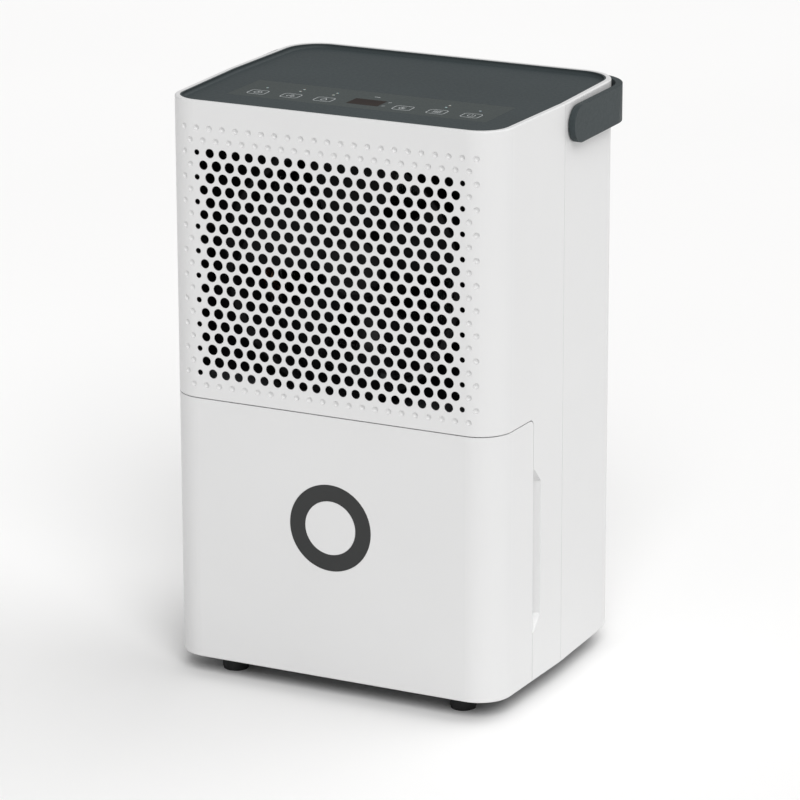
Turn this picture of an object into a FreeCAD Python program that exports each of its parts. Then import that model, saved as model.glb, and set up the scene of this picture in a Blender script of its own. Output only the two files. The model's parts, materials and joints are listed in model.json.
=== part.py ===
"""Compact compressor dehumidifier, built as separate sub-parts.

The frame is millimetres with +Z up. The front grille faces -Y and +X is to the right of someone
looking at it. The origin is on the floor, under the middle of the bounding box.
"""
import FreeCAD
import Part
import Sketcher
import math
import os
import re

# Driving dimensions: alias, value in millimetres (or degrees, or a count), what it is.
DIMENSIONS = (
    ("front_y", -112.3, "front face of the body"),
    ("back_y", 105.9, "rear face of the body"),
    ("front_half", 134.1, "half width of the body at the front face"),
    ("seam_half", 137.9, "half width at the side parting line, where the body is widest"),
    ("back_half", 135.0, "half width at the rear face"),
    ("seam_y", -5.1, "side parting line between front housing and rear cover"),
    ("seam_gap", 0.4, "gap at the parting line"),
    ("front_round", 25.6, "plan radius of the front corners"),
    ("back_round", 30.5, "plan radius of the rear corners"),
    ("wall_thick", 2.6, "wall of the moulded shells"),
    ("edge_round", 1.3, "radius on the outer top and bottom edges"),
    ("body_low", 15.1, "underside of the body"),
    ("body_top", 443.5, "top rim of the body"),
    ("tank_top", 218.3, "top edge of the tank front"),
    ("tank_gap", 0.8, "gap between tank front and grille panel"),
    ("wing_y", -52.75, "rear edge of the tank front's side wings"),
    ("wing_gap", 0.6, "gap behind the wings"),
    ("wing_round", 5.4, "radius at the wings' upper rear corner"),
    ("tank_back_y", -20.3, "rear face of the bucket"),
    ("bucket_half", 116.0, "half width of the bucket"),
    ("bucket_low", 19.3, "underside of the bucket"),
    ("bucket_top", 196.0, "rim of the bucket"),
    ("bucket_wall", 2.0, "wall of the bucket"),
    ("bucket_round", 18.0, "plan radius of the bucket's corners"),
    ("hole_pitch", 10.7, "pitch of the grille holes along a row"),
    ("grille_z", 321.9, "height of the middle row of holes"),
    ("hole_large", 3.98, "radius of the inner grille holes"),
    ("hole_middle", 3.48, "radius of the holes next to the edge"),
    ("hole_small", 2.1, "radius of the last hole of each long row"),
    ("hole_bevel", 0.3, "bevel at the mouth of every hole"),
    ("hole_land", 0.8, "depth at which a hole starts to flare"),
    ("hole_flare", 1.1, "growth of a hole's radius at the back of the wall"),
    ("dimple_ball", 2.3, "ball radius of the blind dimples"),
    ("dimple_depth", 2.0, "depth of the blind dimples"),
    ("rim_width", 3.8, "white rim round the top panel"),
    ("tray_round", 21.5, "plan radius of the top panel's corners"),
    ("tray_top", 443.2, "upper edge of the top panel"),
    ("tray_floor", 440.2, "sunken floor of the top panel"),
    ("tray_under", 437.8, "underside of the top panel's floor"),
    ("ledge_top", 434.3, "ledge that the top panel rests on"),
    ("ledge_low", 431.5, "underside of that ledge"),
    ("overlay_half", 105.0, "half width of the control overlay"),
    ("overlay_front", -69.5, "front edge of the control overlay"),
    ("overlay_back", -18.4, "rear edge of the control overlay"),
    ("overlay_thick", 0.6, "thickness of the control overlay"),
    ("display_half", 12.7, "half width of the display window"),
    ("display_front", -58.4, "front edge of the display window"),
    ("display_back", -41.2, "rear edge of the display window"),
    ("key_y", -55.0, "line of the touch keys"),
    ("key_near", 32.0, "distance of the nearest touch keys from the middle"),
    ("key_step", 27.3, "spacing of the touch keys"),
    ("bail_inner", 138.5, "inner face of the handle's arms"),
    ("bail_outer", 143.7, "outer face of the handle's arms"),
    ("bail_back", 112.3, "rear face of the handle's crossbar"),
    ("bail_thick", 4.5, "thickness of the handle's crossbar"),
    ("bail_low", 412.0, "lower edge of the stowed handle"),
    ("bail_high", 439.8, "upper edge of the stowed handle"),
    ("bail_round", 35.0, "outer plan radius of the handle's corners"),
    ("pivot_y", 13.0, "handle pivot"),
    ("pivot_radius", 4.0, "handle pin"),
    ("ring_z", 133.1, "middle of the water level window"),
    ("ring_outer", 33.2, "outer radius of the window ring"),
    ("ring_inner", 20.7, "inner radius of the window ring"),
    ("scoop_low", 52.9, "lower end of the side grip scoops"),
    ("scoop_high", 181.0, "upper end of the side grip scoops"),
    ("scoop_radius", 13.7, "radius of the scooped surface"),
    ("scoop_end", 12.8, "length of the tapered ends of the scoops"),
    ("foot_x", 95.4, "feet, from the middle"),
    ("foot_front", -84.7, "front feet"),
    ("foot_back", 62.7, "rear feet"),
    ("foot_flange", 12.1, "radius of a foot's flange"),
    ("foot_radius", 10.0, "radius of a foot"),
    ("pad_thick", 2.0, "rubber pad under a foot"),
    ("base_thick", 3.0, "base plate"),
    ("base_inset", 3.4, "base plate edge, in from the body's outline"),
    ("deck_low", 219.8, "underside of the middle deck"),
    ("deck_thick", 2.4, "middle deck"),
    ("duct_radius", 90.5, "bore of the fan duct"),
    ("duct_front", -90.3, "front lip of the fan duct"),
    ("duct_back", -52.3, "front face of the duct's back plate"),
    ("plate_thick", 2.4, "back plate of the fan duct"),
    ("plate_top", 426.0, "top edge of the duct's back plate"),
    ("rotor_radius", 88.0, "tip radius of the fan"),
    ("hub_radius", 24.0, "hub of the fan"),
    ("blade_count", 5, "fan blades"),
    ("blade_pitch", 30.0, "blade angle at the tip, degrees"),
    ("shaft_radius", 3.0, "motor shaft"),
    ("motor_radius", 35.0, "fan motor"),
    ("motor_length", 38.0, "fan motor"),
    ("coil_half", 104.0, "half width of the fin packs"),
    ("coil_low", 236.0, "bottom of the fins"),
    ("coil_high", 412.0, "top of the fins"),
    ("coil_deep", 24.0, "depth of a fin pack"),
    ("condenser_y", 22.0, "middle plane of the condenser"),
    ("evaporator_y", 56.0, "middle plane of the evaporator"),
    ("tube_radius", 3.5, "heat exchanger tube"),
    ("tube_low", 247.0, "lowest tube row"),
    ("tube_step", 22.0, "spacing of the tube rows"),
    ("tube_rows", 8, "tube rows in each coil"),
    ("fin_count", 42, "fins in each pack"),
    ("fin_thick", 0.5, "thickness of a fin"),
    ("compressor_x", -50.0, "compressor"),
    ("compressor_y", 48.0, "compressor"),
    ("compressor_radius", 40.0, "compressor can"),
    ("filter_half", 102.8, "half width of the filter frame"),
    ("filter_low", 238.2, "lower edge of the filter frame"),
    ("filter_high", 403.8, "upper edge of the filter frame"),
    ("filter_front", 92.85, "inner face of the filter frame"),
    ("filter_gap", 0.4, "gap round the filter frame"),
    ("spigot_x", -75.0, "drain spigot"),
    ("spigot_z", 227.4, "drain spigot"),
    ("spigot_radius", 5.0, "drain spigot, outside"),
    ("spigot_bore", 3.2, "drain spigot, inside"),
    ("cord_x", 78.0, "power cord inlet"),
    ("cord_z", 45.0, "power cord inlet"),
    ("float_y", -30.0, "hinge of the float arm"),
    ("float_z", 178.0, "hinge of the float arm"),
    ("float_x", 78.0, "middle of the float arm"),
)

ALIASES = {alias for alias, value, note in DIMENSIONS}
WORD = re.compile(r"[a-z_]+")

doc = FreeCAD.newDocument("dehumidifier")
sheet = doc.addObject("Spreadsheet::Sheet", "Sizes")
nodes = {}


# ---------------------------------------------------------------- sizes and formulas

def fill_sheet():
    for row, (alias, value, note) in enumerate(DIMENSIONS, start=1):
        sheet.set(f"A{row}", alias)
        sheet.set(f"B{row}", str(value))
        sheet.set(f"C{row}", note)
        sheet.setAlias(f"B{row}", alias)
    doc.recompute()


def formula(text):
    """Point every size named in the text at its cell."""
    return WORD.sub(lambda found: cell(found.group(0)), str(text))


def cell(word):
    return f"Sizes.{word}" if word in ALIASES else word


def number(text):
    """The present value of a formula."""
    return float(sheet.evalExpression(formula(text)))


def vector(x, y, z):
    return FreeCAD.Vector(number(x), number(y), number(z))


def node(label, item):
    """Mark an object as a sub-part, which is exported under its label."""
    item.Label = label
    nodes[label] = item
    return item


# ---------------------------------------------------------------- solids from primitives

def box(name, x, y, z):
    """A block; x, y and z are (low, high) pairs of formulas."""
    item = doc.addObject("Part::Box", name)
    for axis, side, (low, high) in zip("xyz", ("Length", "Width", "Height"), (x, y, z)):
        item.setExpression(side, formula(f"({high}) - ({low})"))
        item.setExpression(f"Placement.Base.{axis}", formula(low))
    return item


TURNS = {
    "x": FreeCAD.Rotation(FreeCAD.Vector(0, 1, 0), 90),
    "y": FreeCAD.Rotation(FreeCAD.Vector(1, 0, 0), -90),
    "z": FreeCAD.Rotation(),
}


def stand(item, axis, across, low):
    """Set a round primitive along an axis; across holds its place on the other two axes."""
    item.Placement.Rotation = TURNS[axis]
    others = [other for other in "xyz" if other != axis]
    for other, place in zip(others, across):
        item.setExpression(f"Placement.Base.{other}", formula(place))
    item.setExpression(f"Placement.Base.{axis}", formula(low))
    return item


def rod(name, axis, across, radius, span):
    item = doc.addObject("Part::Cylinder", name)
    item.setExpression("Radius", formula(radius))
    item.setExpression("Height", formula(f"({span[1]}) - ({span[0]})"))
    return stand(item, axis, across, span[0])


def cone(name, axis, across, radii, span):
    item = doc.addObject("Part::Cone", name)
    item.setExpression("Radius1", formula(radii[0]))
    item.setExpression("Radius2", formula(radii[1]))
    item.setExpression("Height", formula(f"({span[1]}) - ({span[0]})"))
    return stand(item, axis, across, span[0])


def join(name, *items):
    fused = doc.addObject("Part::MultiFuse", name)
    fused.Shapes = list(items)
    return fused


def cut(name, base, *tools):
    item = doc.addObject("Part::Cut", name)
    item.Base = base
    item.Tool = tools[0] if len(tools) == 1 else join(f"{name}_tools", *tools)
    return item


def common(name, *items):
    item = doc.addObject("Part::MultiCommon", name)
    item.Shapes = list(items)
    return item


def group(name, items):
    """Several separate solids that share one node."""
    item = doc.addObject("Part::Compound", name)
    item.Links = list(items)
    return item


def feature(name, shape, place=FreeCAD.Vector(), turn=FreeCAD.Rotation()):
    item = doc.addObject("Part::Feature", name)
    item.Shape = shape
    item.Placement = FreeCAD.Placement(place, turn)
    return item


def revolved(profile):
    """A solid of revolution about +Y from a closed polygon of (radius, depth) points."""
    corners = [FreeCAD.Vector(across, along, 0) for across, along in profile]
    face = Part.Face(Part.makePolygon(corners + corners[:1]))
    return face.revolve(FreeCAD.Vector(), FreeCAD.Vector(0, 1, 0), 360)


# ---------------------------------------------------------------- solids from sketches

def sketch_polygon(body, role, name, points, offset="0"):
    """A closed polygon on an origin plane, each corner held by two dimensions."""
    sketch = body.newObject("Sketcher::SketchObject", name)
    plane = next(item for item in body.Origin.OriginFeatures if item.Role == role)
    sketch.AttachmentSupport = [(plane, "")]
    sketch.MapMode = "FlatFace"
    sketch.setExpression("AttachmentOffset.Base.z", formula(offset))
    corners = [FreeCAD.Vector(number(x), number(y), 0) for x, y in points]
    count = len(corners)
    for index, corner in enumerate(corners):
        sketch.addGeometry(Part.LineSegment(corner, corners[(index + 1) % count]), False)
    for index in range(count):
        sketch.addConstraint(Sketcher.Constraint("Coincident", index, 2, (index + 1) % count, 1))
    for index, (point, corner) in enumerate(zip(points, corners)):
        for kind, text, value in (("DistanceX", point[0], corner.x), ("DistanceY", point[1], corner.y)):
            place = sketch.addConstraint(Sketcher.Constraint(kind, -1, 1, index, 1, value))
            sketch.setExpression(f"Constraints[{place}]", formula(text))
    return sketch


def pad_body(name, role, points, low, high):
    """A body whose first feature is a polygon padded from low to high along the plane's normal."""
    body = doc.addObject("PartDesign::Body", name)
    sketch = sketch_polygon(body, role, f"{name}_sketch", points, low)
    pad = body.newObject("PartDesign::Pad", f"{name}_pad")
    pad.Profile = sketch
    pad.setExpression("Length", formula(f"({high}) - ({low})"))
    body.Tip = pad
    doc.recompute()
    return body


def round_edges(body, radius, chosen):
    """Fillet the edges of the body's tip that the test picks."""
    base = body.Tip
    names = [f"Edge{index}" for index, edge in enumerate(base.Shape.Edges, start=1) if chosen(edge)]
    fillet = body.newObject("PartDesign::Fillet", f"{body.Name}_round")
    fillet.Base = (base, names)
    fillet.setExpression("Radius", formula(radius))
    body.Tip = fillet
    doc.recompute()
    return body


def turned_body(name, points):
    """A solid of revolution about its own Z axis from a polygon of (radius, height) points."""
    body = doc.addObject("PartDesign::Body", name)
    sketch = sketch_polygon(body, "XZ_Plane", f"{name}_sketch", points)
    turned = body.newObject("PartDesign::Revolution", f"{name}_turned")
    turned.Profile = sketch
    turned.ReferenceAxis = (sketch, ["V_Axis"])
    turned.Angle = 360
    body.Tip = turned
    doc.recompute()
    return body


def place_body(body, x, y, z, turn=None):
    if turn is not None:
        body.Placement.Rotation = turn
    for axis, text in zip("xyz", (x, y, z)):
        body.setExpression(f"Placement.Base.{axis}", formula(text))
    return body


def upright(edge):
    """True for an edge that runs along Z."""
    ends = edge.BoundBox
    return ends.ZLength > 1 and ends.XLength < 0.01 and ends.YLength < 0.01


def level(height):
    """A test for edges that lie in the plane at a height."""
    return lambda edge: edge.BoundBox.ZLength < 0.01 and abs(edge.BoundBox.ZMin - height) < 0.01


# ---------------------------------------------------------------- the body's outline

def outline(name, inset, low, high, front_round, back_round):
    """The body's plan outline moved in by inset, as a prism with rounded corners."""
    right = (
        (f"front_half - ({inset})", f"front_y + ({inset})"),
        (f"seam_half - ({inset})", "seam_y"),
        (f"back_half - ({inset})", f"back_y - ({inset})"),
    )
    left = tuple((f"-({x})", y) for x, y in reversed(right))
    body = pad_body(name, "XY_Plane", right + left, low, high)
    middle = number("seam_y")
    round_edges(body, front_round, lambda edge: upright(edge) and edge.BoundBox.YMax < middle - 1)
    round_edges(body, back_round, lambda edge: upright(edge) and edge.BoundBox.YMin > middle + 1)
    return body


def full_shell():
    """The whole body as one open-ended shell with the ledge for the top panel."""
    outer = outline("shell_outer", "0", "body_low", "body_top", "front_round", "back_round")
    round_edges(outer, "edge_round", level(number("body_top")))
    round_edges(outer, "edge_round", level(number("body_low")))
    hollow = outline("shell_hollow", "wall_thick", "body_low - 1", "ledge_low",
                     "front_round - wall_thick", "back_round - wall_thick")
    mouth = outline("shell_mouth", "rim_width + 5", "ledge_low - 1", "ledge_top + 1",
                    "tray_round - 5", "back_round - rim_width - 5")
    seat = outline("shell_seat", "rim_width", "ledge_top", "body_top + 1", "tray_round", "back_round - rim_width")
    return cut("shell_ring", outer, hollow, mouth, seat)


# ---------------------------------------------------------------- grille

def punch(radius):
    """A hole tool along +Y from the origin, bevelled where it enters and flared behind its land."""
    bevel = number("hole_bevel")
    land = number("hole_land")
    wide = radius + number("hole_flare")
    wall = number("wall_thick")
    return revolved(((0, -1), (radius + bevel + 1, -1), (radius + bevel, 0), (radius, bevel), (radius, land),
                     (wide, wall), (wide, wall + 2), (0, wall + 2)))


def row_height(row):
    """Height of a row of the hexagonal pattern above the middle row."""
    return row * number("hole_pitch") * math.sin(math.radians(60))


def row_places(row, long_count):
    """Positions across a row: odd rows hold long_count holes and even rows one fewer."""
    count = long_count if row % 2 else long_count - 1
    return [(index - (count - 1) / 2) * number("hole_pitch") for index in range(count)]


def grille_punches():
    """390 holes in nineteen rows, smaller towards the rim of the pattern."""
    tools = {kind: punch(number(kind)) for kind in ("hole_large", "hole_middle", "hole_small")}
    holes = []
    for row in range(-9, 10):
        places = row_places(row, 21)
        for index, across in enumerate(places):
            last = index in (0, len(places) - 1)
            kind = "hole_large"
            if last:
                kind = "hole_small" if row % 2 else "hole_middle"
            elif abs(row) == 9:
                kind = "hole_middle"
            hole = tools[kind].copy()
            hole.translate(FreeCAD.Vector(across, 0, row_height(row)))
            holes.append(hole)
    return feature("grille_punches", Part.makeCompound(holes), vector("0", "front_y", "grille_z"))


def corner_drop(across):
    """How far the rounded corner has fallen back from the front face at a distance across."""
    radius = number("front_round")
    past = abs(across) - number("front_half - 0.956 * front_round")
    return 0 if past <= 0 else radius - math.sqrt(radius ** 2 - past ** 2)


def dimple_balls():
    """Blind dimples: two rows above the holes, one below and a column at each side."""
    places = [(across, row) for row in (10, 11, -10) for across in row_places(row, 23)]
    for row in range(-9, 10):
        edge = row_places(row, 23)
        places += [(edge[0], row), (edge[-1], row)]
    lift = number("dimple_ball - dimple_depth")
    balls = []
    for across, row in places:
        centre = FreeCAD.Vector(across, corner_drop(across) - lift, row_height(row))
        balls.append(Part.makeSphere(number("dimple_ball"), centre))
    return feature("dimple_balls", Part.makeCompound(balls), vector("0", "front_y", "grille_z"))


# ---------------------------------------------------------------- outer casing

def scoop(name, side, grow):
    """The grip scoop's cutter: an upright cylinder with tapered ends beside the wing's edge."""
    across = (f"{side} * (seam_half - 1.6 + 3.3)", "wing_y - 1")
    radius = f"scoop_radius + {grow}"
    tip = f"3.3 + {grow}"
    low, high = f"scoop_low - {grow}", f"scoop_high + {grow}"
    inner_low, inner_high = "scoop_low + scoop_end", "scoop_high - scoop_end"
    middle = rod(f"{name}_middle", "z", across, radius, (inner_low, inner_high))
    bottom = cone(f"{name}_bottom", "z", across, (tip, radius), (low, inner_low))
    top = cone(f"{name}_top", "z", across, (radius, tip), (inner_high, high))
    return join(name, middle, bottom, top)


def front_housing(shell):
    """Grille panel, upper sides and the side walls behind the tank."""
    region = pad_body("front_region", "YZ_Plane", (
        ("front_y - 1", "tank_top + tank_gap"),
        ("wing_y + wing_gap", "tank_top + tank_gap"),
        ("wing_y + wing_gap", "body_low - 1"),
        ("seam_y - seam_gap / 2", "body_low - 1"),
        ("seam_y - seam_gap / 2", "body_top + 1"),
        ("front_y - 1", "body_top + 1"),
    ), "-150", "150")
    corner = number("wing_y + wing_gap")
    height = number("tank_top + tank_gap")
    round_edges(region, "wing_round + 0.7", lambda edge: (
        edge.BoundBox.XLength > 1 and abs(edge.BoundBox.YMin - corner) < 0.01
        and abs(edge.BoundBox.ZMin - height) < 0.01))
    walls = common("front_walls", shell, region)
    pockets = []
    scoops = []
    for name, side in (("left", -1), ("right", 1)):
        reach = sorted((f"{side} * (seam_half - 16)", f"{side} * (seam_half - 3)"), key=number)
        keep = box(f"{name}_pocket_keep", reach, ("wing_y + wing_gap", "wing_y + 18"), ("body_low", "tank_top"))
        pockets.append(common(f"{name}_pocket", scoop(f"{name}_pocket_blank", side, "2"), keep))
        scoops.append(scoop(f"{name}_scoop", side, "0"))
    blank = join("front_blank", walls, *pockets)
    scooped = cut("front_scooped", blank, *scoops)
    dimpled = cut("front_dimpled", scooped, dimple_balls())
    return node("front_housing", cut("front_housing", dimpled, grille_punches()))


def vent_slots():
    """Two columns of low slots that let the compressor bay breathe."""
    slots = []
    for side in (-1, 1):
        reach = sorted((f"{side} * 14", f"{side} * 82"), key=number)
        for index in range(7):
            low = f"78 + {index} * 11"
            slots.append(box("vent_slot", reach, ("back_y - 6", "back_y + 1"), (low, f"{low} + 4")))
    return slots


def screw_spots():
    return [(f"{side} * 98", height) for side in (-1, 1) for height in ("34", "212", "418")]


def rear_cover(shell):
    """Rear shell with the filter's seat, vents, handle bosses and service openings."""
    region = box("rear_region", ("-150", "150"), ("seam_y + seam_gap / 2", "back_y + 1"), ("0", "body_top + 1"))
    walls = common("rear_walls", shell, region)
    seat = box("filter_seat", ("-106", "106"), ("filter_front - 2.3", "back_y - 1"),
               ("filter_low - 2", "filter_high + 3"))
    adds = [seat]
    cuts = [
        box("filter_mouth", ("-filter_half - filter_gap", "filter_half + filter_gap"),
            ("filter_front - 0.3", "back_y + 1"), ("filter_low - filter_gap", "filter_high + filter_gap")),
        box("filter_sight", ("-97", "97"), ("filter_front - 5", "back_y + 1"), ("242", "398")),
        rod("spigot_hole", "y", ("spigot_x", "spigot_z"), "8.5", ("back_y - 8", "back_y + 1")),
        rod("cord_hole", "y", ("cord_x", "cord_z"), "7.1", ("back_y - 8", "back_y + 1")),
    ]
    for side in (-1, 1):
        reach = sorted((f"{side} * 128.5", f"{side} * (seam_half - 3)"), key=number)
        adds.append(rod("pivot_boss", "x", ("pivot_y", "bail_low / 2 + bail_high / 2"), "7.5", reach))
        reach = sorted((f"{side} * 120", f"{side} * 145"), key=number)
        cuts.append(rod("pivot_hole", "x", ("pivot_y", "bail_low / 2 + bail_high / 2"),
                        "pivot_radius + 0.1", reach))
    for spot in screw_spots():
        adds.append(rod("screw_boss", "y", spot, "5", ("back_y - 16", "back_y - 1")))
        cuts.append(rod("screw_head_hole", "y", spot, "4", ("back_y - 2", "back_y + 1")))
        cuts.append(rod("screw_shank_hole", "y", spot, "1.9", ("back_y - 17", "back_y + 1")))
    blank = join("rear_blank", walls, *adds)
    return node("rear_cover", cut("rear_cover", blank, *cuts, *vent_slots()))


def base_plate():
    """Floor of the machine with bosses for the compressor's grommets."""
    plate = outline("base_outline", "base_inset", "body_low", "body_low + base_thick",
                    "front_round - base_inset", "back_round - base_inset")
    bosses = [rod("grommet_boss", "z", spot, "7", ("body_low + 1", "body_low + base_thick + 3.3"))
              for spot in lug_spots()]
    holes = [rod("base_screw_hole", "z", spot, "1.9", ("body_low - 1", "body_low + base_thick + 1"))
             for spot in base_screw_spots()]
    return node("base_plate", cut("base_plate", join("base_blank", plate, *bosses), *holes))


def base_screw_spots():
    return [(f"{side} * 60", depth) for side in (-1, 1) for depth in ("foot_front", "foot_back + 8")]


def middle_deck():
    """Deck between the air path and the tank, notched for the pipes and the drip spout."""
    deck = outline("deck_outline", "base_inset", "deck_low", "deck_low + deck_thick",
                   "front_round - base_inset", "back_round - base_inset")
    span = ("deck_low - 1", "deck_low + deck_thick + 1")
    notches = [
        rod("spout_hole", "z", ("0", "tank_back_y - 12"), "8.5", span),
        box("left_pipe_notch", ("-140", "-118"), ("condenser_y - 10", "evaporator_y + 10"), span),
        box("right_pipe_notch", ("118", "140"), ("condenser_y - 10", "evaporator_y + 10"), span),
        box("spigot_notch", ("spigot_x - 8", "spigot_x + 8"), ("evaporator_y + 14.5", "back_y"), span),
    ]
    return node("middle_deck", cut("middle_deck", deck, *notches))


def bay_wall():
    """Upright wall between the tank bay and the compressor."""
    return node("bay_wall", box("bay_wall", ("-134", "134"), ("tank_back_y + 5.5", "tank_back_y + 7.5"),
                                ("body_low + base_thick", "deck_low")))


def foot_spots():
    return [(f"{side} * foot_x", depth) for side in (-1, 1) for depth in ("foot_front", "foot_back")]


def feet():
    """Four flanged feet with a hollowed shoulder, and the pads under them."""
    bodies = []
    for spot in foot_spots():
        foot = turned_body("foot", (
            ("0.01", "pad_thick"), ("foot_radius", "pad_thick"), ("foot_radius", "body_low - 5.2"),
            ("foot_radius + 0.5", "body_low - 4.2"), ("foot_flange", "body_low - 2.8"),
            ("foot_flange", "body_low"), ("0.01", "body_low")))
        bodies.append(place_body(foot, spot[0], spot[1], "0"))
    node("feet", group("feet", bodies))
    pads = [rod("foot_pad", "z", spot, "foot_radius - 0.6", ("0", "pad_thick")) for spot in foot_spots()]
    node("foot_pads", group("foot_pads", pads))


# ---------------------------------------------------------------- top and controls

def top_panel():
    """Sunken tray with a rounded wall, a seat for the overlay and an opening under the display."""
    edge = "rim_width + 0.15"
    slab = outline("tray_slab", edge, "ledge_top", "tray_top", "tray_round - 0.15", f"back_round - {edge}")
    sunk = outline("tray_sunk", "rim_width + 1.5", "tray_floor", "tray_top + 8", "tray_round - 1.5",
                   "back_round - rim_width - 1.5")
    round_edges(sunk, "2.4", level(number("tray_floor")))
    under = outline("tray_under_hollow", "rim_width + 2.4", "ledge_top - 1", "tray_under", "tray_round - 2.4",
                    "back_round - rim_width - 2.4")
    film = box("overlay_seat", ("-overlay_half - 0.1", "overlay_half + 0.1"),
               ("overlay_front - 0.1", "overlay_back + 0.1"), ("tray_floor - overlay_thick", "tray_floor + 1"))
    light = box("display_opening", ("-display_half + 1.5", "display_half - 1.5"),
                ("display_front + 1", "display_back - 1"), ("tray_under - 1", "tray_floor + 1"))
    node("top_panel", cut("top_panel", slab, sunk, under, film, light))
    sheet_span = ("tray_floor - overlay_thick", "tray_floor")
    overlay = box("overlay_blank", ("-overlay_half", "overlay_half"), ("overlay_front", "overlay_back"), sheet_span)
    window = box("display_cutout", ("-display_half - 0.1", "display_half + 0.1"),
                 ("display_front - 0.1", "display_back + 0.1"), ("tray_under", "tray_floor + 1"))
    node("control_overlay", cut("control_overlay", overlay, window))
    node("display_window", box("display_window", ("-display_half", "display_half"),
                               ("display_front", "display_back"), sheet_span))


def key_spots():
    return [f"{side} * (key_near + {step} * key_step)" for side in (-1, 1) for step in range(3)]


def controls():
    """Control board, display block and the springs that carry touch to the overlay."""
    board_top = "tray_under - 6.2"
    node("control_board", box("control_board", ("-96", "96"), ("overlay_front + 5", "overlay_back - 18"),
                              (f"{board_top} - 1.6", board_top)))
    node("display_module", box("display_module", ("-display_half + 2", "display_half - 2"),
                               ("display_front + 1.4", "display_back - 1.4"), (board_top, "tray_under + 0.6")))
    springs = [rod("touch_spring", "z", (across, "key_y"), "3.2", (board_top, "tray_under"))
               for across in key_spots()]
    node("touch_springs", group("touch_springs", springs))


# ---------------------------------------------------------------- handle

def handle():
    """Flat U-shaped bail that stows round the rear and swings up about two pins."""
    front = "pivot_y - bail_high / 2 + bail_low / 2"
    outer = pad_body("bail_outer_body", "XY_Plane", (
        ("bail_outer", front), ("bail_outer", "bail_back"), ("-bail_outer", "bail_back"), ("-bail_outer", front),
    ), "bail_low", "bail_high")
    back = number("bail_back")
    round_edges(outer, "bail_round", lambda edge: upright(edge) and edge.BoundBox.YMin > back - 1)
    start = number(front)
    round_edges(outer, "(bail_high - bail_low) / 2 - 0.01", lambda edge: (
        edge.BoundBox.XLength > 10 and edge.BoundBox.YMax < start + 1))
    inner = pad_body("bail_inner_body", "XY_Plane", (
        ("bail_inner", "front_y"), ("bail_inner", "bail_back - bail_thick"),
        ("-bail_inner", "bail_back - bail_thick"), ("-bail_inner", "front_y"),
    ), "bail_low - 1", "bail_high + 1")
    inner_back = number("bail_back - bail_thick")
    round_edges(inner, "bail_round - bail_thick", lambda edge: upright(edge) and edge.BoundBox.YMin > inner_back - 1)
    middle = "bail_low / 2 + bail_high / 2"
    bores = []
    pins = []
    for side in (-1, 1):
        reach = sorted((f"{side} * (bail_inner - 1)", f"{side} * (bail_inner + 3.9)"), key=number)
        bores.append(rod("pin_bore", "x", ("pivot_y", middle), "pivot_radius + 0.25", reach))
        reach = sorted((f"{side} * 128", f"{side} * (bail_inner + 3.6)"), key=number)
        shank = rod("pin_shank", "x", ("pivot_y", middle), "pivot_radius", reach)
        reach = sorted((f"{side} * 126", f"{side} * 128.4"), key=number)
        pins.append(join("pin", shank, rod("pin_head", "x", ("pivot_y", middle), "6.5", reach)))
    node("handle", cut("handle", outer, inner, *bores))
    node("handle_pins", group("handle_pins", pins))


# ---------------------------------------------------------------- air path

def fan_shroud():
    """Round duct in front of a back plate."""
    middle = ("0", "grille_z")
    plate = box("shroud_plate", ("-126", "126"), ("duct_back", "duct_back + plate_thick"),
                ("deck_low + deck_thick", "plate_top"))
    duct = rod("shroud_duct", "y", middle, "duct_radius + 2.6", ("duct_front", "duct_back + 1"))
    lip = rod("shroud_lip", "y", middle, "duct_radius + 5", ("duct_front", "duct_front + 2.2"))
    bore = rod("shroud_bore", "y", middle, "duct_radius", ("duct_front - 1", "duct_back + plate_thick + 1"))
    return node("fan_shroud", cut("fan_shroud", join("shroud_blank", plate, duct, lip), bore))


def blade_section(radius, chord, angle):
    """A thin lens-shaped section on a plane across the blade at a radius."""
    half = chord / 2
    camber = chord * 0.07
    thick = 1.1
    rows = [(-half, 0), (0, camber - thick), (half, 0), (0, camber + thick)]
    tilt = math.radians(angle)
    points = []
    for along, up in rows:
        turn = along * math.cos(tilt) - up * math.sin(tilt)
        depth = along * math.sin(tilt) + up * math.cos(tilt)
        points.append(FreeCAD.Vector(turn, depth, radius))
    lower = Part.Arc(points[0], points[1], points[2]).toShape()
    upper = Part.Arc(points[2], points[3], points[0]).toShape()
    return Part.Wire([lower, upper])


def fan_rotor():
    """Hub with broad twisted blades, turning about the Y axis; its back face is at y = 0."""
    tip = number("rotor_radius")
    hub = number("hub_radius")
    shaft = number("shaft_radius")
    angle = number("blade_pitch")
    depth = 28.5
    sections = [
        blade_section(hub - 4, 24, angle + 16),
        blade_section((hub + tip) / 2, 54, angle + 5),
        blade_section(tip, 72, angle),
    ]
    blade = Part.makeLoft(sections, True)
    blade.translate(FreeCAD.Vector(0, -18.3, 0))
    count = int(number("blade_count"))
    blades = []
    for index in range(count):
        wing = blade.copy()
        wing.rotate(FreeCAD.Vector(), FreeCAD.Vector(0, 1, 0), 360 * index / count)
        blades.append(wing)
    drum = revolved(((shaft, 0), (hub, 0), (hub, -depth + 4.5), (hub - 5, -depth), (shaft, -depth)))
    limit = Part.makeCylinder(tip, 60, FreeCAD.Vector(0, -45, 0), FreeCAD.Vector(0, 1, 0))
    wheel = drum.multiFuse(blades).common(limit)
    node("fan_rotor", feature("fan_rotor", wheel, vector("0", "duct_back - 0.5", "grille_z")))
    middle = ("0", "grille_z")
    front = "duct_back - 29"
    node("rotor_nut", rod("rotor_nut", "y", middle, "6.5", (f"{front} - 6", front)))
    node("motor_shaft", rod("motor_shaft", "y", middle, "shaft_radius", (front, "duct_back + plate_thick + 10")))


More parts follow.
